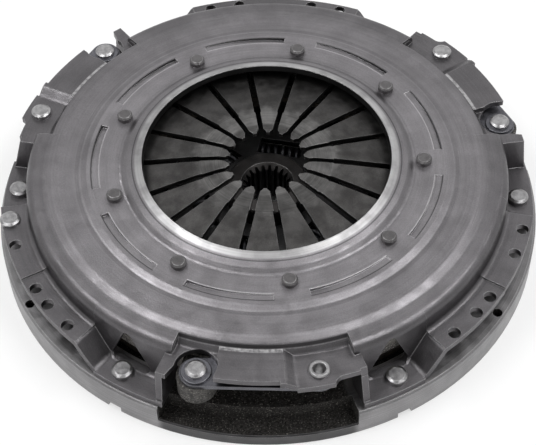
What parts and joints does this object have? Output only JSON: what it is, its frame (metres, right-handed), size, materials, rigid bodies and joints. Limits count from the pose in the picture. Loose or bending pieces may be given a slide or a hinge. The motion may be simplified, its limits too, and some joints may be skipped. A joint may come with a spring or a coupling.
{
  "type": "clutch pressure plate assembly",
  "caption": "Riveted diaphragm-spring clutch unit: pressed cover with ramps and spacer bolts on a round counter plate, with leaf straps, pressure plate and sprung driven disc inside.",
  "frame": {"origin": "centre of the counter plate's flat underside", "axes": "+Z along the shaft axis towards the release side; the rivet with a bore stands at 77 degrees clockwise from +X, in the sector centred on -Y"},
  "size_m": [0.2976, 0.2976, 0.0548],
  "materials": {
    "cover_steel": "satin",
    "rivet_steel": "satin",
    "bolt_steel": "satin",
    "spring_steel": "satin",
    "cast_iron": "rough",
    "machined_iron": "machined",
    "strap_steel": "satin",
    "disc_steel": "dark satin",
    "hub_steel": "dark satin",
    "friction_lining": "rough",
    "friction_washer": "matt",
    "lining_brass": "dull"
  },
  "bodies": {
    "housing": {"cover": "cover_steel", "counter_plate": "machined_iron", "foot_rivets": "rivet_steel", "strap_cover_rivets": "rivet_steel", "tubular_rivet": "rivet_steel", "balance_rivet": "rivet_steel", "spacer_bolts": "bolt_steel", "diaphragm_spring": "spring_steel", "sensor_spring": "spring_steel", "adjuster_springs": "spring_steel", "strap_pack_front": "strap_steel", "strap_pack_right": "strap_steel", "strap_pack_left": "strap_steel"},
    "lifting_plate": {"pressure_plate": "cast_iron", "lug_rivets": "rivet_steel", "lug_washers": "strap_steel"},
    "wear_ring": {"adjusting_ring": "disc_steel"},
    "shaft_hub": {"hub": "hub_steel"},
    "friction_disc": {"rear_facing": "friction_lining", "front_facing": "friction_lining", "facing_rivets": "lining_brass", "cushion_segments": "disc_steel", "segment_rivets": "disc_steel", "rear_side_plate": "disc_steel", "front_side_plate": "disc_steel", "stop_pins": "disc_steel", "damper_springs": "spring_steel", "wave_spring": "spring_steel", "rear_friction_washer": "friction_washer", "front_friction_washer": "friction_washer"}
  },
  "joints": [
    {"name": "plate_lift", "type": "slide", "parent": "housing", "child": "lifting_plate", "axis": [0, 0, 1], "range_m": [0, 0.0018], "stiffness_N_per_m": 40000, "springref_m": -0.0008, "deforming": ["diaphragm_spring", "strap_pack_front", "strap_pack_right", "strap_pack_left"]},
    {"name": "wear_adjust", "type": "hinge", "parent": "housing", "child": "wear_ring", "pos_m": [0, 0, 0.044], "axis": [0, 0, 1], "range_deg": [0, 8], "deforming": ["adjuster_springs"]},
    {"name": "hub_spin", "type": "hinge", "parent": "housing", "child": "shaft_hub", "pos_m": [0, 0, 0.0143], "axis": [0, 0, 1], "continuous": true},
    {"name": "damper_twist", "type": "hinge", "parent": "shaft_hub", "child": "friction_disc", "pos_m": [0, 0, 0.0143], "axis": [0, 0, 1], "range_deg": [-10, 10], "stiffness_Nm_per_rad": 300, "deforming": ["damper_springs"]}
  ]
}
